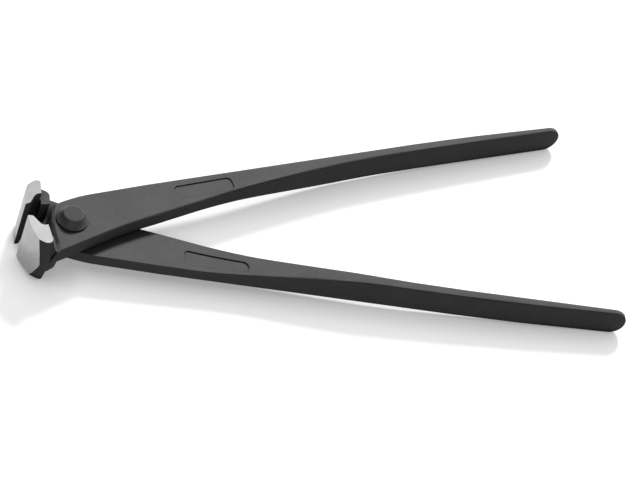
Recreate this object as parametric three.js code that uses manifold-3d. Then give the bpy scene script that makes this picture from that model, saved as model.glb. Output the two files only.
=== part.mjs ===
// Rebar tying pliers: two crossed forged halves turning on one rivet, 250 mm long when closed.
// Millimetres, +Z up. The hinge axis is +Z, the jaws point to -X and the handles to +X.
// The origin is the centre of the flat on the lower rivet head.
import * as THREE from 'three';
import { mergeVertices } from 'three/addons/utils/BufferGeometryUtils.js';
import Module from 'manifold-3d';

const wasm = await Module();
wasm.setup();

// Driving sizes of the whole tool
const overallLength = 250;
const restOpening = 16.5; // degrees between the halves, as photographed
const lapGap = 0.3; // between the two lapping plates
const edgeGap = 0.1; // left between the cutting edges when the handles are shut
const handleGap = 0.1; // left between the crossing handles when they are shut

// Driving sizes of a jaw
const jawReach = 19.6; // hinge axis to cutting edge
const jawHalfWidth = 12.1; // half the length of a cutting edge
const jawDepth = 16.3; // centre line to the outer ridge of a closed jaw
const ridgeRadius = 1.6; // rounding of the outer ridge
const jawRear = 13.25; // hinge axis to the rear of the ground end faces
const endFaceRiseShare = 0.215; // rise of the end faces towards the hinge, per length
const endFaceFallShare = 0.15; // fall of the end faces away from the cutting edge, per length

// Driving sizes of the neck that carries a jaw
const neckHalfHeight = 8.6;
const neckRear = 9.15; // hinge axis to the back wall of the neck
const neckRim = 2.6; // height over which the neck rounds off to its flat
const plateBevel = 0.85; // height of the bevel along the front edge of the plate

// Driving sizes of the plate and the handle
const plateHalfThickness = 6.05; // mid-plane to the cheek of the joint
const gripHalfHeight = 6.15;
const gripOffset = 18.7; // centre line to the outer edge of a closed grip
const plateReach = 15; // centre line to the near corner of the plate
const endLength = 5.9; // length of the rounded handle end
const edgeRadius = 0.8; // rounding along the handle
const sideLeanShare = 0.065; // draft of the forged sides, per height
const crossRun = 78; // length over which a handle drops to its full height

// Driving sizes of the rivet
const shankRadius = 4.6;
const boreGap = 0.15;
const headGap = 0.15;
const headRadius = 6.4;
const headHeight = 3.6;
const rimHeight = 0.6; // upright rim round the foot of a head
const hollowShare = 0.12; // hollow of the cone of a head, towards its foot
const crownRadius = 4.15; // where the cone of the head meets the bevel round its flat
const crownHeight = 3.35;
const headFlatRadius = 3.75;

// Counts of facets
const roundSteps = 48;
const cornerSteps = 3;
const ridgeSteps = 4;
const jawSteps = 14;
const coneSteps = 6;
const endSteps = 7;
const handleSteps = 72;
const curveSteps = 12;
const frontSteps = 10;
const bevelSteps = 20;

const overrun = 2; // how far a cutting or joining shape runs past what it meets
const handleReach = overallLength - jawReach;
const midLevel = plateHalfThickness + headGap + headHeight;
const half = lapGap / 2;

// Closed shapes and joins

function solidOf(geometry) {
  const bare = geometry.clone();
  bare.deleteAttribute('normal');
  bare.deleteAttribute('uv');
  const merged = mergeVertices(bare);
  const vertProperties = new Float32Array(merged.attributes.position.array);
  const triVerts = new Uint32Array(merged.index.array);
  return new wasm.Manifold(new wasm.Mesh({ numProp: 3, vertProperties, triVerts }));
}

function geometryOf(solid) {
  const { vertProperties, triVerts } = solid.getMesh();
  const geometry = new THREE.BufferGeometry();
  geometry.setAttribute('position', new THREE.BufferAttribute(vertProperties, 3));
  geometry.setIndex(new THREE.BufferAttribute(triVerts, 1));
  geometry.computeVertexNormals();
  return geometry;
}

// A closed solid through rings of equal count. flat(p) lays a ring out in two coordinates for its caps.
function loft(rings, flat) {
  const count = rings[0].length;
  const position = rings.flat().flatMap((p) => [p.x, p.y, p.z]);
  const index = [];
  for (let r = 0; r + 1 < rings.length; r += 1) {
    for (let i = 0; i < count; i += 1) {
      const a = r * count + i;
      const b = r * count + ((i + 1) % count);
      index.push(a, b, b + count, a, b + count, a + count);
    }
  }
  const last = (rings.length - 1) * count;
  for (const [a, b, c] of THREE.ShapeUtils.triangulateShape(rings[0].map(flat), [])) {
    index.push(c, b, a);
  }
  for (const [a, b, c] of THREE.ShapeUtils.triangulateShape(rings.at(-1).map(flat), [])) {
    index.push(last + a, last + b, last + c);
  }
  const geometry = new THREE.BufferGeometry();
  geometry.setAttribute('position', new THREE.Float32BufferAttribute(position, 3));
  geometry.setIndex(index);
  return geometry;
}

// Sections across X run anticlockwise seen from +X; sections across Z run anticlockwise from above.
const acrossX = (p) => new THREE.Vector2(p.y, p.z);
const acrossZ = (p) => new THREE.Vector2(p.x, p.y);

function smoothLine(points, steps) {
  return new THREE.SplineCurve(points.map(([x, y]) => new THREE.Vector2(x, y))).getPoints(steps);
}

// Height of a line of points at a place along X
function heightAt(line, x) {
  const found = line.findIndex((p) => p.x >= x);
  const next = found < 0 ? line.length - 1 : Math.max(1, found);
  const [a, b] = [line[next - 1], line[next]];
  return a.y + ((b.y - a.y) * (x - a.x)) / (b.x - a.x);
}

// One half lies closed here, its mid-plane at zero, with its jaw towards -Y and its plate above.

// Plate and handle: place along the handle as a share of handleReach,
// then its outer edge as a share of gripOffset.
const outerEdgeShares = [
  [-0.07, 0.2], [-0.026, 0.41], [-0.009, 0.492], [0.01, 0.547], [0.035, 0.603], [0.078, 0.641],
  [0.175, 0.71], [0.304, 0.765], [0.432, 0.83], [0.561, 0.9], [0.69, 0.965], [0.818, 0.999],
  [0.945, 1.0], [1.0, 0.995],
];

// The same for the inner edge: beside the joint it follows plateReach, and along the grip gripOffset.
const plateEdgeShares = [
  [-0.07, -1.04], [-0.048, -0.985], [-0.0375, -0.938], [-0.0235, -0.885], [-0.003, -0.78],
  [0.038, -0.595], [0.078, -0.416], [0.129, -0.236], [0.166, -0.127],
];
const gripEdgeShares = [
  [0.298, 0.234], [0.43, 0.498], [0.559, 0.687], [0.688, 0.779], [0.816, 0.832], [0.944, 0.879],
  [1.0, 0.895],
];

function edgeLine(rows) {
  return smoothLine(rows, rows.length * curveSteps);
}

const outerEdge = edgeLine(outerEdgeShares.map(([x, y]) => [x * handleReach, y * gripOffset]));
const innerEdge = edgeLine([
  ...plateEdgeShares.map(([x, y]) => [x * handleReach, y * plateReach]),
  ...gripEdgeShares.map(([x, y]) => [x * handleReach, y * gripOffset]),
]);

// A handle starts to drop where its inner edge is clear of the other half.
const sideSpread = sideLeanShare * gripHalfHeight;
const crossStart = innerEdge.find((p) => p.y > sideSpread + handleGap).x;

function bottomAt(x) {
  const t = THREE.MathUtils.smoothstep(x, crossStart, crossStart + crossRun);
  return THREE.MathUtils.lerp(half, -gripHalfHeight, t);
}

function topAt(x) {
  const t = THREE.MathUtils.smoothstep(x, crossStart, crossStart + crossRun);
  return THREE.MathUtils.lerp(plateHalfThickness, gripHalfHeight, t);
}

// Rounded section of plate and handle: four corners, and a forging ridge on each side at the mid-plane.
// The edge lines are where the rounding is half way round, so the side stands a little outside them.
function handleSection(x, shrink) {
  const at = Math.min(x, handleReach - endLength);
  const bottom = bottomAt(at) * shrink;
  const top = topAt(at) * shrink;
  const high = edgeRadius * shrink;
  const low = Math.min(edgeRadius, (half - bottomAt(at)) / 2 + handleGap) * shrink;
  const ridge = Math.max(0, bottom + low + high / 4);
  const taper = (edgeRadius * (1 - shrink)) / 2;
  const stand = edgeRadius * (1 - Math.SQRT1_2);
  const lean = (z) => sideLeanShare * (z > ridge ? top - z : top - 2 * ridge + z);
  const outer = (z) => heightAt(outerEdge, x) - taper + stand + lean(z);
  const inner = (z) => heightAt(innerEdge, x) + taper - stand - lean(z);
  const ring = [];
  const corner = (side, sign, z, radius, from) => {
    for (let i = 0; i <= cornerSteps; i += 1) {
      const angle = from + (i / cornerSteps) * (Math.PI / 2);
      const y = side(z) + radius * (Math.cos(angle) - sign);
      ring.push(new THREE.Vector3(x, y, z + radius * Math.sin(angle)));
    }
  };
  corner(inner, -1, bottom + low, low, Math.PI);
  corner(outer, 1, bottom + low, low, -Math.PI / 2);
  ring.push(new THREE.Vector3(x, outer(ridge), ridge));
  corner(outer, 1, top - high, high, 0);
  corner(inner, -1, top - high, high, Math.PI / 2);
  ring.push(new THREE.Vector3(x, inner(ridge), ridge));
  return ring;
}

function plateAndHandle() {
  const end = handleReach - endLength;
  const rings = [];
  for (let i = 0; i <= handleSteps; i += 1) {
    rings.push(handleSection(THREE.MathUtils.lerp(-jawRear, end, i / handleSteps), 1));
  }
  for (let i = 1; i < endSteps; i += 1) {
    const angle = (i / endSteps) * (Math.PI / 2);
    rings.push(handleSection(end + endLength * Math.sin(angle), Math.cos(angle)));
  }
  return solidOf(loft(rings, acrossX));
}

// Front edge of the plate, towards the throat: place across as a share of plateReach, then the reach
// from the hinge axis of its root at the mid-plane, which runs out into the throat, and of the foot
// and the crest of its bevel, as shares of neckRear.
const frontEdgeShares = [
  [-1.14, 1.5, 1.29, 0.97], [-0.96, 1.5, 1.2, 0.956], [-0.813, 1.49, 1.155, 0.951],
  [-0.553, 1.48, 1.054, 0.94], [-0.41, 1.43, 1.024, 0.918], [-0.28, 1.345, 0.995, 0.891],
  [-0.053, 1.155, 0.918, 0.809], [0.177, 0.968, 0.82, 0.7], [0.373, 0.765, 0.71, 0.59],
  [0.567, 0.539, 0.539, 0.426], [0.733, 0.35, 0.35, 0.24],
];

// What is kept of the plate: all that lies behind its front edge
function behindFrontEdge() {
  const far = handleReach + overrun;
  const out = plateReach + gripOffset;
  const edge = (shares) => smoothLine(shares.map(([y, x]) => [-x * neckRear, y * plateReach]), bevelSteps);
  const root = edge(frontEdgeShares.map(([y, x]) => [y, x]));
  const foot = edge(frontEdgeShares.map(([y, , x]) => [y, x]));
  const crest = edge(frontEdgeShares.map(([y, , , x]) => [y, x]));
  const outline = (line, z) => [
    new THREE.Vector3(line[0].x, -out, z), new THREE.Vector3(far, -out, z),
    new THREE.Vector3(far, out, z), new THREE.Vector3(line.at(-1).x, out, z),
    ...line.map((p) => new THREE.Vector3(p.x, p.y, z)).reverse(),
  ];
  return solidOf(loft([
    outline(root, -gripHalfHeight - overrun),
    outline(root, half),
    outline(foot, plateHalfThickness - plateBevel),
    outline(crest, plateHalfThickness),
    outline(crest, gripHalfHeight + overrun),
  ], acrossZ));
}

// Height of the ground end face of a jaw over the mid-plane
function endFaceAt(x, y) {
  return jawHalfWidth + endFaceRiseShare * (x + jawReach) - endFaceFallShare * Math.abs(y);
}

// Place along a jaw: 0 at its rear, 1 at the cutting edge
function alongJaw(share) {
  return -THREE.MathUtils.lerp(jawRear, jawReach, share);
}

// Jaw: place along it, then the depth of the outer rim of the end faces and of the outer ridge,
// as shares of jawDepth.
const jawSideShares = [
  [1.31, 0.52, 0.96], [0.762, 0.716, 0.96], [0.599, 0.78, 0.965], [0.429, 0.835, 0.975],
  [0.213, 0.858, 0.98], [0.074, 0.832, 0.982], [-0.05, 0.76, 0.975],
];

const [jawRim, jawRidge] = [1, 2].map((column) => smoothLine(
  jawSideShares.map((row) => [alongJaw(row[0]), -row[column] * jawDepth]),
  jawSteps * curveSteps,
));

function jawSection(x) {
  const rimDepth = heightAt(jawRim, x);
  const ridgeDepth = heightAt(jawRidge, x);
  const rimLevel = endFaceAt(x, rimDepth);
  const slope = Math.atan2(rimLevel, rimDepth - ridgeDepth);
  const sweep = Math.PI / 2 - slope;
  const centre = ridgeDepth + ridgeRadius / Math.sin(slope);
  const ring = [
    new THREE.Vector3(x, overrun, endFaceAt(x, 0)),
    new THREE.Vector3(x, 0, endFaceAt(x, 0)),
    new THREE.Vector3(x, rimDepth, rimLevel),
  ];
  for (let i = 0; i <= ridgeSteps; i += 1) {
    const angle = Math.PI - sweep + (i / ridgeSteps) * 2 * sweep;
    ring.push(new THREE.Vector3(x, centre + ridgeRadius * Math.cos(angle), ridgeRadius * Math.sin(angle)));
  }
  ring.push(new THREE.Vector3(x, rimDepth, -rimLevel));
  ring.push(new THREE.Vector3(x, 0, -endFaceAt(x, 0)));
  ring.push(new THREE.Vector3(x, overrun, -endFaceAt(x, 0)));
  return ring;
}

// Throat of a jaw from above, from the cutting edge inwards: place along it, then depth as a share
// of jawDepth.
const throatShares = [
  [0.843, 0.024], [0.716, 0.052], [0.623, 0.123], [0.528, 0.206], [0.401, 0.304], [0.29, 0.347],
  [0.151, 0.368], [0, 0.376],
];

// Ground front face from above: place across as a share of jawDepth, then place along the jaw
const frontShares = [
  [0, 1], [0.12, 1.025], [0.25, 1.019], [0.38, 0.975], [0.49, 0.92], [0.6, 0.867], [0.72, 0.799],
  [0.95, 0.676], [1.13, 0.583],
];

function jawOutline() {
  const outline = new THREE.Shape();
  const back = jawDepth + overrun;
  const front = smoothLine(frontShares.map(([y, x]) => [alongJaw(x), -y * jawDepth]), frontSteps);
  outline.moveTo(front[0].x, -edgeGap / 2);
  for (const p of front.slice(1)) {
    outline.lineTo(p.x, p.y);
  }
  outline.lineTo(-jawRear, -back);
  const throat = smoothLine(throatShares.map(([x, y]) => [alongJaw(x), -y * jawDepth]), curveSteps);
  for (const p of throat.reverse()) {
    outline.lineTo(p.x, p.y);
  }
  outline.closePath();
  return outline;
}

function extrudeUp(shape, low, high) {
  const geometry = new THREE.ExtrudeGeometry(shape, { depth: high - low, bevelEnabled: false });
  return geometry.translate(0, 0, low);
}

function jaw() {
  const tall = jawHalfWidth + overrun;
  const outline = solidOf(extrudeUp(jawOutline(), -tall, tall));
  const rings = [];
  for (let i = 0; i <= jawSteps; i += 1) {
    rings.push(jawSection(THREE.MathUtils.lerp(jawRim[0].x, jawRim.at(-1).x, i / jawSteps)));
  }
  return solidOf(loft(rings, acrossX)).intersect(outline);
}

// Place along a neck: 0 at its back wall, 1 at the rear of the jaw
function alongNeck(share) {
  return -THREE.MathUtils.lerp(neckRear, jawRear, share);
}

// Neck below the mid-plane, a block against which the other half's plate turns. Each row is the place
// along the neck, then the depths of its inner side, of the rim of its flat, of its shoulder and of its
// root at the mid-plane, as shares of plateReach.
const neckShares = [
  [1.25, 0.41, 0.775, 0.97, 1.03], [0.881, 0.41, 0.775, 0.962, 1.025], [0.87, 0.26, 0.775, 0.961, 1.024],
  [0.692, 0.265, 0.762, 0.94, 1.012], [0.469, 0.275, 0.737, 0.912, 0.995], [0.223, 0.29, 0.693, 0.885, 0.97],
  [0.112, 0.305, 0.66, 0.868, 0.955], [0.033, 0.33, 0.625, 0.848, 0.942], [0, 0.36, 0.585, 0.825, 0.93],
];

function neckBlock() {
  const rings = neckShares.map(([along, inside, rim, shoulder, root]) => {
    const point = (share, z) => new THREE.Vector3(alongNeck(along), -share * plateReach, z);
    return [
      point(inside, half + lapGap), point(root, half + lapGap), point(root, 0),
      point(shoulder, neckRim - neckHalfHeight), point(rim, -neckHalfHeight), point(inside, -neckHalfHeight),
    ];
  });
  return solidOf(loft(rings, acrossX));
}

// Neck above the mid-plane: a ramp from the jaw down to the plate. Each row is the place along the neck,
// then the level of the ramp as a share of jawHalfWidth, and the depths of its rim and of its root as
// shares of plateReach.
const rampShares = [
  [1.25, 0.9, 0.885, 1.03], [1.026, 0.9, 0.875, 1.03], [0.781, 0.66, 0.92, 1.02], [0.513, 0.46, 0.955, 1.005],
  [0.223, 0.43, 0.955, 0.975], [-0.045, 0.42, 0.92, 0.935],
];

function neckRamp() {
  const inside = -throatShares.at(-1)[1] * jawDepth;
  const rings = rampShares.map(([along, level, rim, root]) => {
    const x = alongNeck(along);
    const top = level * jawHalfWidth;
    return [
      new THREE.Vector3(x, inside, top), new THREE.Vector3(x, -rim * plateReach, top),
      new THREE.Vector3(x, -root * plateReach, 0), new THREE.Vector3(x, -root * plateReach, -half),
      new THREE.Vector3(x, inside, -half),
    ];
  });
  return solidOf(loft(rings, acrossX));
}

function cylinderAlongZ(radius, low, high) {
  const geometry = new THREE.CylinderGeometry(radius, radius, high - low, roundSteps);
  geometry.rotateX(Math.PI / 2);
  return solidOf(geometry.translate(0, 0, (low + high) / 2));
}

function forgedHalf() {
  const plate = plateAndHandle().intersect(behindFrontEdge());
  const body = plate.add(neckBlock()).add(neckRamp()).add(jaw());
  const bore = cylinderAlongZ(shankRadius + boreGap, -gripHalfHeight, gripHalfHeight + overrun);
  return geometryOf(body.subtract(bore));
}

function rivet() {
  const cheek = plateHalfThickness + headGap;
  const rim = new THREE.Vector2(headRadius, cheek + rimHeight);
  const crown = new THREE.Vector2(crownRadius, cheek + crownHeight);
  const share = new THREE.Vector2(1 / 2 + hollowShare, 1 / 2 - hollowShare);
  const hollow = crown.clone().sub(rim).multiply(share).add(rim);
  const cone = new THREE.QuadraticBezierCurve(rim, hollow, crown).getPoints(coneSteps);
  const quarter = [
    new THREE.Vector2(shankRadius, cheek), new THREE.Vector2(headRadius, cheek), ...cone,
    new THREE.Vector2(headFlatRadius, cheek + headHeight), new THREE.Vector2(0, cheek + headHeight),
  ];
  const below = quarter.map((p) => new THREE.Vector2(p.x, -p.y)).reverse();
  return new THREE.LatheGeometry([...below, ...quarter], roundSteps).rotateX(Math.PI / 2);
}

// Colours as photographed: blackened forgings, and a rivet of the same finish
const forgedBlack = new THREE.MeshStandardMaterial({ color: 0x3a3b3d, roughness: 0.55, metalness: 0.4 });
const rivetBlack = new THREE.MeshStandardMaterial({ color: 0x37383a, roughness: 0.5, metalness: 0.45 });

const pliers = new THREE.Group();
pliers.position.z = midLevel;
const turn = THREE.MathUtils.degToRad(restOpening / 2);
const forging = forgedHalf();

const upperHalf = new THREE.Mesh(forging, forgedBlack);
upperHalf.name = 'upper_half';
upperHalf.rotation.z = turn;

const lowerHalf = new THREE.Mesh(forging.clone(), forgedBlack);
lowerHalf.name = 'lower_half';
lowerHalf.rotation.x = Math.PI;
const lowerTurn = new THREE.Group();
lowerTurn.rotation.z = -turn;
lowerTurn.add(lowerHalf);

const pivotRivet = new THREE.Mesh(rivet(), rivetBlack);
pivotRivet.name = 'pivot_rivet';

pliers.add(upperHalf, lowerTurn, pivotRivet);
export default pliers;
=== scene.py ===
# %% [markdown]
# # Rebar tying pliers in Blender
#
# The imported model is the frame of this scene. It brings two forged halves and the rivet
# that they turn on, in metres, each already in its place. Everything that is added here
# sits on that frame, so nothing has to be fitted by eye.

# %% Load the frame
import math

import bmesh
import bpy
from mathutils import Matrix, Vector
from mathutils.bvhtree import BVHTree


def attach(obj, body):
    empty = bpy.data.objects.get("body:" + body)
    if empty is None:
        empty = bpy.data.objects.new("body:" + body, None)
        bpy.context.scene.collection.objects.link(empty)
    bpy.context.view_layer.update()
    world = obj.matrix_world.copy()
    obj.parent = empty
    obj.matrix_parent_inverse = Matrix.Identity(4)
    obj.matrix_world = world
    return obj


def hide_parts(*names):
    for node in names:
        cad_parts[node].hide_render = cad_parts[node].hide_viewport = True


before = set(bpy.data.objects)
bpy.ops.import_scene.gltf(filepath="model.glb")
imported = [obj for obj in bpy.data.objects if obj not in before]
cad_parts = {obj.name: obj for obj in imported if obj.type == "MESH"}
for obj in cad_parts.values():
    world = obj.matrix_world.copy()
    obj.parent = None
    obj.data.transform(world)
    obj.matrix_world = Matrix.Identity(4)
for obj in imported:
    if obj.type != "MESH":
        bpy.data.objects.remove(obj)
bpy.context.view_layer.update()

print("CAD nodes:", sorted(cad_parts))

# %% [markdown]
# ## Sizes that more than one step needs
#
# The two halves are the same forging. At rest each is turned by half of the opening
# angle about the rivet, and the lower one also lies upside down. A place on a forging is
# easiest to give as it lies with the pliers shut, so each half has one matrix that takes a
# point from there to its place in the scene. Its inverse takes the point back.

# %% Sizes and the way from a shut forging to its place
MM = 0.001
REST_OPENING = math.radians(16.5)
MID_LEVEL = 9.8 * MM  # height of the plane between the two lapping plates

at_mid_level = Matrix.Translation((0, 0, MID_LEVEL))
turned_over = Matrix.Rotation(math.pi, 4, "X")
PLACES = {
    "upper_half": at_mid_level @ Matrix.Rotation(REST_OPENING / 2, 4, "Z"),
    "lower_half": at_mid_level @ Matrix.Rotation(-REST_OPENING / 2, 4, "Z") @ turned_over,
}
print("places of the forgings:", list(PLACES))

# %% [markdown]
# ## Camera
#
# The photograph looks down on the tool from the left front with a long lens, and is
# rolled a little, so that the handles run downhill. A constraint could aim the camera at
# the tool, but its direction was worked out from the photograph, so it is written as three
# angles. The three axes of the camera follow from them.

# %% Camera
AZIMUTH = math.radians(30.003614)
ELEVATION = math.radians(46.166811)
ROLL = math.radians(22.348085)
CAMERA_PLACE = Vector((-0.307440, -0.717667, 0.865722))
FOCAL_LENGTH_MM = 165.556
SENSOR_WIDTH_MM = 36
NEAREST_SEEN, FARTHEST_SEEN = 0.05, 20  # metres

forward = Vector((
    math.sin(AZIMUTH) * math.cos(ELEVATION),
    math.cos(AZIMUTH) * math.cos(ELEVATION),
    -math.sin(ELEVATION),
))
level_right = Vector((math.cos(AZIMUTH), -math.sin(AZIMUTH), 0))
level_up = level_right.cross(forward)
right = level_right * math.cos(ROLL) + level_up * math.sin(ROLL)
up = level_up * math.cos(ROLL) - level_right * math.sin(ROLL)

lens = bpy.data.cameras.new("camera")
lens.sensor_width = SENSOR_WIDTH_MM
lens.lens = FOCAL_LENGTH_MM
lens.clip_start = NEAREST_SEEN
lens.clip_end = FARTHEST_SEEN
camera = bpy.data.objects.new("camera", lens)
camera.matrix_world = Matrix((
    (right.x, up.x, -forward.x, CAMERA_PLACE.x),
    (right.y, up.y, -forward.y, CAMERA_PLACE.y),
    (right.z, up.z, -forward.z, CAMERA_PLACE.z),
    (0, 0, 0, 1),
))
bpy.context.scene.collection.objects.link(camera)
bpy.context.scene.camera = camera
print("camera at", [round(v, 3) for v in camera.matrix_world.translation])

# %% [markdown]
# ## Helpers for materials
#
# A colour is written as the hex value that a paint program shows, and turned to the
# linear value that the renderer adds up. One function adds a node, sets its inputs and
# links what feeds it. An input goes by its name, or by its number where the node has
# several of that name, as Math and Mix have. Every pattern reads Object coordinates, and
# its scale comes from a size in millimetres.

# %% Colour and node helpers
MIX_FIRST, MIX_SECOND, MIX_RESULT = 6, 7, 2  # the sockets of a Mix node that carry colours


def linear(code):
    values = [int(code[i:i + 2], 16) / 255 for i in (1, 3, 5)]
    return [v / 12.92 if v <= 0.04045 else ((v + 0.055) / 1.055) ** 2.4 for v in values] + [1]


def add_node(owner, kind, inputs=None, **settings):
    """A node in a material or world; an input is a value, or the socket that feeds it."""
    node = owner.node_tree.nodes.new("ShaderNode" + kind)
    for name, value in settings.items():
        setattr(node, name, value)
    for name, value in (inputs or {}).items():
        if isinstance(value, bpy.types.NodeSocket):
            owner.node_tree.links.new(value, node.inputs[name])
        else:
            node.inputs[name].default_value = value
    return node


def new_material(name):
    material = bpy.data.materials.new(name)
    material.use_nodes = True
    material.node_tree.nodes.clear()
    return material


def finish_material(material, shader):
    add_node(material, "OutputMaterial", {"Surface": shader.outputs["BSDF"]})
    return material


def per_size(size_mm):
    """Noise scale at which one blotch is about this many millimetres wide."""
    return 1 / (size_mm * MM)


print("white is", linear("#ffffff"), "and mid grey is", round(linear("#808080")[0], 3))

# %% [markdown]
# ## Phosphated forged steel
#
# The forgings are tool steel, shot-blasted after the hammer and then phosphated: a bath
# grows a thin layer of dark grey crystals, and oil in it turns it nearly black. To the eye
# that is a matt to satin charcoal with a faint mottle and fine blasting pits. It could be
# painted from one noise, but pits, crystal patches and wide clouds differ in size, so each
# gets a noise of its own size.

# %% Patterns of the phosphate
PITS_MM = 0.5  # blasting pits are about 0.1 mm, drawn coarser so that they show
MOTTLE_MM = 2.6
CLOUD_MM = 16


def phosphate_patterns(material):
    place = add_node(material, "TexCoord").outputs["Object"]
    pits = add_node(material, "TexNoise", {
        "Vector": place, "Scale": per_size(PITS_MM), "Detail": 2.0, "Roughness": 0.6,
    }).outputs["Fac"]
    mottle = add_node(material, "TexNoise", {
        "Vector": place, "Scale": per_size(MOTTLE_MM), "Detail": 4.0, "Roughness": 0.55,
    }).outputs["Fac"]
    clouds = add_node(material, "TexNoise", {
        "Vector": place, "Scale": per_size(CLOUD_MM), "Detail": 2.0,
    }).outputs["Fac"]
    return pits, mottle, clouds


print("noise scales:", [round(per_size(size)) for size in (PITS_MM, MOTTLE_MM, CLOUD_MM)])

# %% [markdown]
# ### Edges
#
# The edges of the steel are slightly rounded, and their shading is painted into the colour
# as a thin line: a painted shade on the forgings, and a painted highlight on the rivet.
# Thin extra faces along every edge could carry it. A Bevel node is simpler: it gives the
# normal that a rounded edge would have, and where that differs from the true one, there is
# an edge. The mottle breaks the line up.

# %% Edge line
EDGE_RADIUS = 0.35 * MM


def painted_edge_mask(material, mottle):
    """Where the painted edge shade or highlight goes: up to 1 along an edge, 0 away from it."""
    rounded = add_node(material, "Bevel", {"Radius": EDGE_RADIUS}, samples=6).outputs["Normal"]
    true_normal = add_node(material, "NewGeometry").outputs["True Normal"]
    agreement = add_node(material, "VectorMath", {
        0: rounded, 1: true_normal,
    }, operation="DOT_PRODUCT").outputs["Value"]
    # cosines: the line begins where the normals are 10 degrees apart, and is full at 26
    edge = add_node(material, "MapRange", {
        "Value": agreement, "From Min": 0.985, "From Max": 0.90, "To Min": 0.0, "To Max": 1.0,
    }).outputs["Result"]
    breaks = add_node(material, "MapRange", {
        "Value": mottle, "From Min": 0.40, "From Max": 0.62, "To Min": 0.15, "To Max": 1.0,
    }).outputs["Result"]
    return add_node(material, "Math", {0: edge, 1: breaks}, operation="MULTIPLY").outputs[0]


print("edges are rounded to", round(EDGE_RADIUS / MM, 2), "mm")

# %% [markdown]
# ### Crevices
#
# The joint, the foot of the rivet head and the throat are darkened with painted shade.
# It could be painted on by hand. Ambient Occlusion measures how open a place is, so the
# painted shade finds the crevices by itself.

# %% Crevices
# painted shade in the crevices: how far it reaches and how dark it gets
CREVICE_REACH = 7 * MM
DEEPEST_SHADE = 0.08  # share of the colour that a deep corner keeps


def painted_crevice_shade(material):
    """Factor of the painted crevice shade: 1 in the open, and the deepest share in a deep
    corner.
    """
    open_air = add_node(
        material, "AmbientOcclusion", {"Distance": CREVICE_REACH}, samples=8,
    ).outputs["AO"]
    return add_node(material, "MapRange", {
        "Value": open_air, "From Min": 0.35, "From Max": 0.8, "To Min": DEEPEST_SHADE, "To Max": 1.0,
    }).outputs["Result"]


print("crevices are looked for within", round(CREVICE_REACH / MM), "mm")

# %% [markdown]
# ### The whole finish
#
# Patterns, edges and crevices come together in one shader. It could be a black metal, but
# the crystals scatter light like a stone does, so it is a rough dielectric with a soft oily
# reflection. The rivet gets the same finish later, with other tones and more gloss.

# %% Phosphated steel
PIT_DEPTH = 0.02 * MM
CREVICE_ROUGHNESS = 0.95


def phosphated_steel(name, tone, painted_edge_tone, roughness, reflection):
    material = new_material(name)
    pits, mottle, clouds = phosphate_patterns(material)
    crevice_shade_factor = painted_crevice_shade(material)

    # crystals: lighter and darker patches round the main tone
    patches = add_node(material, "Math", {0: mottle, 1: clouds}, operation="ADD").outputs[0]
    grain = add_node(material, "Math", {0: patches, 1: pits}, operation="ADD").outputs[0]
    shade = add_node(material, "MapRange", {
        "Value": grain, "From Min": 1.1, "From Max": 1.9, "To Min": 0.88, "To Max": 1.12,
    }).outputs["Result"]
    base = add_node(material, "VectorMath", {
        0: linear(tone)[:3], "Scale": shade,
    }, operation="SCALE").outputs["Vector"]
    # painted light along the edges: the edge tone is painted shade or a painted highlight
    colour = add_node(material, "Mix", {
        "Factor": painted_edge_mask(material, mottle), MIX_FIRST: base, MIX_SECOND: linear(painted_edge_tone),
    }, data_type="RGBA").outputs[MIX_RESULT]
    # painted shade: the colour darkens in the crevices
    colour = add_node(material, "VectorMath", {
        0: colour, "Scale": crevice_shade_factor,
    }, operation="SCALE").outputs["Vector"]

    # gloss varies with the mottle, and the shaded crevices are matt
    gloss = add_node(material, "MapRange", {
        "Value": mottle, "From Min": 0.3, "From Max": 0.7,
        "To Min": roughness - 0.05, "To Max": roughness + 0.06,
    }).outputs["Result"]
    gloss = add_node(material, "MapRange", {
        "Value": crevice_shade_factor, "To Min": CREVICE_ROUGHNESS, "To Max": gloss,
    }).outputs["Result"]

    relief = add_node(material, "Math", {0: pits, 1: mottle}, operation="ADD").outputs[0]
    bump = add_node(material, "Bump", {
        "Strength": 0.35, "Distance": PIT_DEPTH, "Height": relief,
    }).outputs["Normal"]
    shader = add_node(material, "BsdfPrincipled", {
        "Base Color": colour, "Roughness": gloss, "IOR": 1.5, "Specular IOR Level": reflection,
        "Normal": bump,
    })
    return finish_material(material, shader)


# the edge tone here is a painted shade along the edges
forged_finish = phosphated_steel(
    "phosphated_forged_steel", tone="#5b5b5b", painted_edge_tone="#383838",
    roughness=0.66, reflection=0.1,
)
print("made", forged_finish.name)

# %% [markdown]
# ## Ground steel
#
# After the black bath the jaws are ground bright on their front and end faces, which sets
# the cutting edge. A grinding wheel leaves fine parallel lines, so the reflection is soft
# across them and the grey is a little streaked. It is bare steel, so a true metal, with
# a noise that is stretched along the way the wheel went.

# %% Ground steel
GRIND_MM = 0.4  # grit lines are about 0.05 mm apart, drawn coarser so that they show
GRIND_CLOUD_MM = 5
GRIND_DEPTH = 0.01 * MM
ALONG_LINES = 0.06  # lines run on along x and z, and are narrow across y


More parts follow.
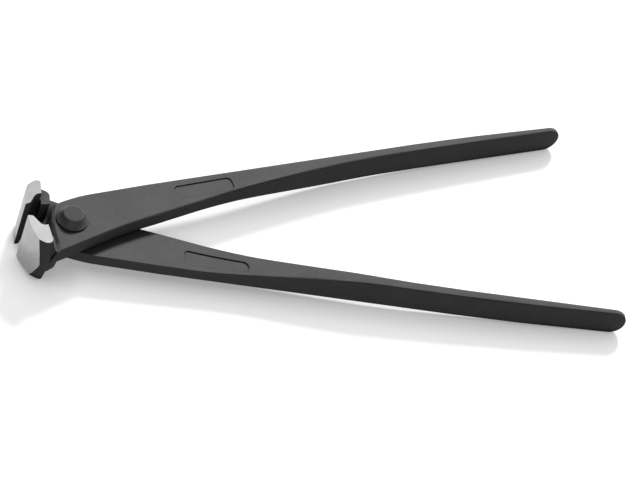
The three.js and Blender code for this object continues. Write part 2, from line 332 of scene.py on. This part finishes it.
def ground_steel(name, tone, roughness):
    material = new_material(name)
    place = add_node(material, "TexCoord").outputs["Object"]
    stretched = add_node(material, "Mapping", {
        "Vector": place, "Scale": (ALONG_LINES, 1.0, ALONG_LINES),
    }).outputs["Vector"]
    lines = add_node(material, "TexNoise", {
        "Vector": stretched, "Scale": per_size(GRIND_MM), "Detail": 2.0, "Roughness": 0.6,
    }).outputs["Fac"]
    clouds = add_node(material, "TexNoise", {
        "Vector": place, "Scale": per_size(GRIND_CLOUD_MM), "Detail": 3.0,
    }).outputs["Fac"]
    both = add_node(material, "Math", {0: lines, 1: clouds}, operation="ADD").outputs[0]
    shade = add_node(material, "MapRange", {
        "Value": both, "From Min": 0.7, "From Max": 1.3, "To Min": 0.92, "To Max": 1.08,
    }).outputs["Result"]
    base = add_node(material, "VectorMath", {
        0: linear(tone)[:3], "Scale": shade,
    }, operation="SCALE").outputs["Vector"]
    gloss = add_node(material, "MapRange", {
        "Value": lines, "From Min": 0.3, "From Max": 0.7,
        "To Min": roughness - 0.05, "To Max": roughness + 0.05,
    }).outputs["Result"]
    bump = add_node(material, "Bump", {
        "Strength": 0.3, "Distance": GRIND_DEPTH, "Height": lines,
    }).outputs["Normal"]
    shader = add_node(material, "BsdfPrincipled", {
        "Base Color": base, "Metallic": 1.0, "Roughness": gloss, "Normal": bump,
    })
    return finish_material(material, shader)


ground_finish = ground_steel("ground_tool_steel", tone="#bfbfbf", roughness=0.23)
print("made", ground_finish.name)

# %% [markdown]
# ## The two forgings
#
# The CAD node of a half is a closed shell of loose triangles, and already has the true
# shape. It isn't changed: a copy of it is merged into one skin, and triangles that lie
# in one plane are joined to whole faces, so that only real edges are left to be worked on.
# That is surer than to model the lap joint and the jaws a second time.

# %% Copy a forging and merge it
MERGE_DISTANCE = 0.002 * MM
FLAT_ANGLE = math.radians(0.6)


def merged_copy(node_name):
    form = bmesh.new()
    form.from_mesh(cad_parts[node_name].data)
    bmesh.ops.remove_doubles(form, verts=form.verts, dist=MERGE_DISTANCE)
    bmesh.ops.dissolve_limit(
        form, angle_limit=FLAT_ANGLE, use_dissolve_boundaries=False,
        verts=form.verts, edges=form.edges, delimit=set(),
    )
    return form


def put_in_scene(form, name, materials=()):
    mesh = bpy.data.meshes.new(name)
    form.to_mesh(mesh)
    form.free()
    for material in materials:
        mesh.materials.append(material)
    piece = bpy.data.objects.new(name, mesh)
    bpy.context.scene.collection.objects.link(piece)
    return piece


for node_name in PLACES:
    print(node_name, "comes with", len(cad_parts[node_name].data.polygons), "triangles")

# %% [markdown]
# ## Sunken panels
#
# The forging die presses one shallow panel with round corners into the upper side of each
# handle. The corners of a panel are given on the shut forging. A flat sheet of that outline
# is cut into strips, dropped on the surface from above so that it follows the bend of the
# handle, and extruded to a block, which a Boolean takes away from the forging. The floor of
# the panel then runs level with the surface round it, as a pressed one does. A plain box
# would be less work, but its flat floor would cut deeper at one end than at the other.

# %% Shape a panel
PANEL_DEPTH = 0.45 * MM
PANEL_OVERRUN = 0.5 * MM  # the block stands this far out of the surface
PANEL_CORNER = 2.2 * MM  # the rounding starts this far from each corner
CORNER_SEGMENTS = 6
PANEL_STRIPS = 12
DROP_HEIGHT = 50 * MM  # above every part of the tool
PANEL_CORNERS = {  # x and y in mm
    "upper_half": [(46.6, 3.9), (72.4, 5.4), (72.4, 12.0), (46.6, 10.4)],
    "lower_half": [(46.2, 4.0), (72.0, 8.1), (72.0, 13.4), (46.2, 11.3)],
}


def panel_sheet(corners):
    sheet = bmesh.new()
    sheet.faces.new([sheet.verts.new((x * MM, y * MM, 0)) for x, y in corners])
    bmesh.ops.bevel(
        sheet, geom=list(sheet.verts), offset=PANEL_CORNER, offset_type="OFFSET",
        segments=CORNER_SEGMENTS, profile=0.5, affect="VERTICES", material=-1,
    )
    first = min(v.co.x for v in sheet.verts)
    last = max(v.co.x for v in sheet.verts)
    for n in range(1, PANEL_STRIPS):
        bmesh.ops.bisect_plane(
            sheet, geom=list(sheet.verts) + list(sheet.edges) + list(sheet.faces),
            plane_co=(first + (last - first) * n / PANEL_STRIPS, 0, 0), plane_no=(1, 0, 0),
        )
    return sheet


def panel_block(surface, corners, place):
    """A closed block that reaches from over the surface down to the floor of the panel."""
    block = panel_sheet(corners)
    bmesh.ops.transform(block, matrix=place, verts=block.verts)
    for v in block.verts:
        hit = surface.ray_cast(Vector((v.co.x, v.co.y, DROP_HEIGHT)), Vector((0, 0, -1)))[0]
        v.co.z = hit.z - PANEL_DEPTH
    made = bmesh.ops.extrude_face_region(block, geom=list(block.faces))["geom"]
    raised = [v for v in made if isinstance(v, bmesh.types.BMVert)]
    bmesh.ops.translate(block, vec=(0, 0, PANEL_DEPTH + PANEL_OVERRUN), verts=raised)
    bmesh.ops.recalc_face_normals(block, faces=block.faces)
    return block


for node_name, corners in PANEL_CORNERS.items():
    print(node_name, "panel is", round(corners[1][0] - corners[0][0], 1), "mm long")


# %% Cut a panel
def with_panel(form, node_name):
    surface = BVHTree.FromBMesh(form)
    block = panel_block(surface, PANEL_CORNERS[node_name], PLACES[node_name])
    whole = put_in_scene(form, "whole")
    cutter = put_in_scene(block, "cutter")
    cut = whole.modifiers.new("panel", "BOOLEAN")
    cut.object = cutter
    cut.operation = "DIFFERENCE"
    cut.solver = "EXACT"
    carved = bmesh.new()
    carved.from_object(whole, bpy.context.evaluated_depsgraph_get())
    for used in (whole, cutter):
        bpy.data.objects.remove(used)
    return carved


carved_forms = {name: with_panel(merged_copy(name), name) for name in PLACES}
for node_name, form in carved_forms.items():
    print(node_name, "has", len(form.verts), "points and", len(form.faces), "faces")

# %% [markdown]
# ## Faces, edges and finishes of a forging
#
# The black bath covers everything but the two ground faces of each jaw, so each face gets
# its finish from where it lies on the shut forging and which way it looks. It could be
# picked by hand, but then a change in the CAD model would lose it. Edges that turn by 28
# degrees or more, and the rims of the ground faces, stay sharp. All others are shaded as
# one smooth skin.

# %% Finish the forgings
JAW_REAR = 13.25 * MM  # rivet axis to the rear of the ground end faces
END_FACE_HEIGHT = 8 * MM  # the end faces lie further than this from the mid-plane
FACING = 0.9  # a ground face has at least this much of its normal along x or z
SHARP_ANGLE = math.radians(28)


def is_ground(face, node_name):
    """Whether a face belongs to the ground front or to a ground end of the jaw."""
    to_shut = PLACES[node_name].inverted()
    centre = to_shut @ face.calc_center_median()
    normal = to_shut.to_3x3() @ face.normal
    if centre.x > -JAW_REAR:
        return False
    front = normal.x < -FACING
    end = abs(normal.z) > FACING and abs(centre.z) > END_FACE_HEIGHT
    return front or end


for node_name, form in carved_forms.items():
    for face in form.faces:
        face.smooth = True
        face.material_index = 1 if is_ground(face, node_name) else 0
    for edge in form.edges:
        finishes = {face.material_index for face in edge.link_faces}
        edge.smooth = edge.calc_face_angle(0) < SHARP_ANGLE and len(finishes) == 1
    print(node_name, "has", sum(face.material_index for face in form.faces), "ground faces")
    piece_name = node_name.replace("half", "forging")
    piece = put_in_scene(form, piece_name, [forged_finish, ground_finish])
    even = piece.modifiers.new("flat faces stay flat", "WEIGHTED_NORMAL")
    even.keep_sharp = True
    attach(piece, node_name)
    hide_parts(node_name)

# %% [markdown]
# ## The rivet
#
# The halves are held by one rivet with a cone-shaped head on each side. It is turned on a
# lathe and driven in, so its profile is spun once round the hinge axis. A cone and a
# cylinder could be joined instead, but one profile also gives the rim, the hollow flank of
# the cone and the small flat.

# %% Profile of the rivet
CONE_STEPS = 8
cone_foot, cone_pull, cone_top = Vector((6.4, 6.8)), Vector((5.005, 7.845)), Vector((4.15, 9.55))
cone = [
    cone_foot * (1 - t) ** 2 + cone_pull * 2 * t * (1 - t) + cone_top * t ** 2
    for t in (n / CONE_STEPS for n in range(CONE_STEPS + 1))
]
rivet_profile = [  # radius, and height over the mid-plane, in mm
    (4.6, 0.0),  # middle of the shank
    (4.6, 6.2),  # shank meets head
    (6.4, 6.2),  # underside of the rim
    *(tuple(point) for point in cone),
    (3.75, 9.8),  # edge of the flat
    (0.0, 9.8),  # centre of the flat
]
print("rivet head is", 2 * rivet_profile[2][0], "mm wide")

# %% Spin the rivet
RIVET_SEGMENTS = 96
RIVET_SHARP_ANGLE = math.radians(25)

form = bmesh.new()
upper_line = [form.verts.new((r * MM, 0, MID_LEVEL + z * MM)) for r, z in rivet_profile]
lower_line = [form.verts.new((r * MM, 0, MID_LEVEL - z * MM)) for r, z in rivet_profile[1:]]
line = list(reversed(lower_line)) + upper_line
edges = [form.edges.new(pair) for pair in zip(line, line[1:])]
bmesh.ops.spin(
    form, geom=line + edges, cent=(0, 0, 0), axis=(0, 0, 1), dvec=(0, 0, 0), angle=math.tau,
    steps=RIVET_SEGMENTS, use_merge=True, use_normal_flip=False, use_duplicate=False,
)
bmesh.ops.remove_doubles(form, verts=form.verts, dist=MERGE_DISTANCE)
bmesh.ops.recalc_face_normals(form, faces=form.faces)
for face in form.faces:
    face.smooth = True
for edge in form.edges:
    edge.smooth = edge.calc_face_angle(0) < RIVET_SHARP_ANGLE

# the edge tone here is a painted highlight along the edges
rivet_finish = phosphated_steel(
    "phosphated_rivet_steel", tone="#474747", painted_edge_tone="#8a8a8a",
    roughness=0.42, reflection=0.33,
)
rivet = put_in_scene(form, "joint_rivet", [rivet_finish])
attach(rivet, "lower_half")
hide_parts("pivot_rivet")
print("rivet has", len(rivet.data.vertices), "points")

# %% [markdown]
# ## Table
#
# The tool lies on a white table, on its jaws and on the ends of its handles. These are not
# equally thick, so the table stands at a small angle to the tool's own axes. A slab would
# do as well, but one large sheet is enough, because only the top shows.

# %% Table top
JAW_FOOT = Vector((-16 * MM, 0, -2.75 * MM))  # lowest place of the jaws
HANDLE_FOOT = Vector((222 * MM, 0, 3.65 * MM))  # lowest place of the handle ends
TABLE_CLEARANCE = 0.05 * MM
TABLE_HALF_WIDTH = 4.0  # metres

slope = math.atan2(HANDLE_FOOT.z - JAW_FOOT.z, HANDLE_FOOT.x - JAW_FOOT.x)
under_jaws = Matrix.Translation(JAW_FOOT - Vector((0, 0, TABLE_CLEARANCE)))
form = bmesh.new()
bmesh.ops.create_grid(form, x_segments=1, y_segments=1, size=TABLE_HALF_WIDTH)
bmesh.ops.transform(
    form, matrix=under_jaws @ Matrix.Rotation(-slope, 4, "Y"), verts=form.verts,
)
print("table slope", round(math.degrees(slope), 2), "degrees")

# %% [markdown]
# ## White lacquer of the table
#
# A white table under enough light would do, but it would also light the sides of the black
# tool, which stay dark in the photograph. So most of its white is a glow that only the
# camera and reflections see, and reflections see less of it. The rest is paint: it takes
# the light of the lamps, and with it the cast shadow of the tool. The paint is paler for
# the camera than for light that bounces off it. Close to the tool the glow fades, which
# gives the soft shadow of contact.

# %% White lacquer
CONTACT_REACH = 15 * MM
TABLE_GLOW = 0.76
CONTACT_GLOW = 0.31  # what is left of the glow right under the tool
MIRRORED_GLOW = 0.65  # share of the glow that reflections see
SEEN_PAINT, BOUNCING_PAINT = "#b4b4b4", "#959595"

table_finish = new_material("white_table_lacquer")
path = add_node(table_finish, "LightPath")
mirrored = add_node(table_finish, "Math", {
    0: path.outputs["Is Glossy Ray"], 1: MIRRORED_GLOW,
}, operation="MULTIPLY").outputs[0]
seen = add_node(table_finish, "Math", {
    0: path.outputs["Is Camera Ray"], 1: mirrored,
}, operation="MAXIMUM").outputs[0]
seen = add_node(table_finish, "Math", {
    0: seen, 1: path.outputs["Is Transmission Ray"],
}, operation="MAXIMUM").outputs[0]
open_air = add_node(
    table_finish, "AmbientOcclusion", {"Distance": CONTACT_REACH}, samples=8,
).outputs["AO"]
glow = add_node(table_finish, "MapRange", {
    "Value": open_air, "From Min": 0.35, "From Max": 0.95,
    "To Min": CONTACT_GLOW, "To Max": TABLE_GLOW,
}).outputs["Result"]
glow = add_node(table_finish, "Math", {0: glow, 1: seen}, operation="MULTIPLY").outputs[0]
paint = add_node(table_finish, "Mix", {
    "Factor": path.outputs["Is Camera Ray"],
    MIX_FIRST: linear(BOUNCING_PAINT), MIX_SECOND: linear(SEEN_PAINT),
}, data_type="RGBA").outputs[MIX_RESULT]
shader = add_node(table_finish, "BsdfPrincipled", {
    "Base Color": paint, "Roughness": 0.5, "Emission Color": linear("#ffffff"),
    "Emission Strength": glow,
})
finish_material(table_finish, shader)
table = put_in_scene(form, "table_top", [table_finish])
print("table is", round(table.dimensions.y, 1), "m wide")

# %% [markdown]
# ## Lamps
#
# A strong softbox behind the tool lights its upward faces, leaves the near sides dark and
# throws the shadow towards the camera. Bright steel would mirror it straight into the lens
# and clip to white, so it is hidden from reflections, and the steel shows the pale room
# instead. A weak lamp from above and a low card from the left front keep the sides from
# going quite black. One large lamp from above would be simpler, but its shadow would be
# softer and hide under the tool.

# %% Lamps
def soft_lamp(name, place, target, width, height, power):
    light = bpy.data.lights.new(name, "AREA")
    light.shape = "RECTANGLE"
    light.size = width
    light.size_y = height
    light.energy = power
    lamp = bpy.data.objects.new(name, light)
    lamp.location = place
    lamp.rotation_euler = (Vector(target) - Vector(place)).to_track_quat("-Z", "Y").to_euler()
    bpy.context.scene.collection.objects.link(lamp)
    return lamp


soft_lamp(
    "overhead_softbox", place=(-0.20, 0.72, 1.85), target=(0.0, 0.0, 0.0),
    width=1.0, height=1.0, power=0.9,
)
rear = soft_lamp(
    "rear_softbox", place=(0.95, 1.75, 1.74), target=(0.08, 0.0, 0.0),
    width=0.4, height=0.4, power=105.0,
)
rear.visible_glossy = False
soft_lamp(
    "front_card", place=(-1.10, -2.00, 0.85), target=(0.10, 0.0, 0.0),
    width=1.4, height=1.0, power=4.4,
)

# %% [markdown]
# ## World
#
# The studio round the table is white where the camera or a reflection sees it. As a light
# it is dim, because an even light from all sides would take the shadows away. Light Path
# tells the two apart, so one Background shader does both.

# %% World
ROOM_LIGHT = 0.055
ROOM_SEEN = 1.0

world = bpy.data.worlds.new("studio")
bpy.context.scene.world = world
world.use_nodes = True
world.node_tree.nodes.clear()
path = add_node(world, "LightPath")
seen = add_node(world, "Math", {
    0: path.outputs["Is Camera Ray"], 1: path.outputs["Is Glossy Ray"],
}, operation="MAXIMUM").outputs[0]
seen = add_node(world, "Math", {
    0: seen, 1: path.outputs["Is Transmission Ray"],
}, operation="MAXIMUM").outputs[0]
strength = add_node(world, "MapRange", {
    "Value": seen, "To Min": ROOM_LIGHT, "To Max": ROOM_SEEN,
}).outputs["Result"]
room = add_node(world, "Background", {"Color": linear("#ffffff"), "Strength": strength})
add_node(world, "OutputWorld", {"Surface": room.outputs["Background"]})
bpy.context.scene.view_settings.view_transform = "Standard"
print("the room lights with", ROOM_LIGHT, "and shows as", ROOM_SEEN)
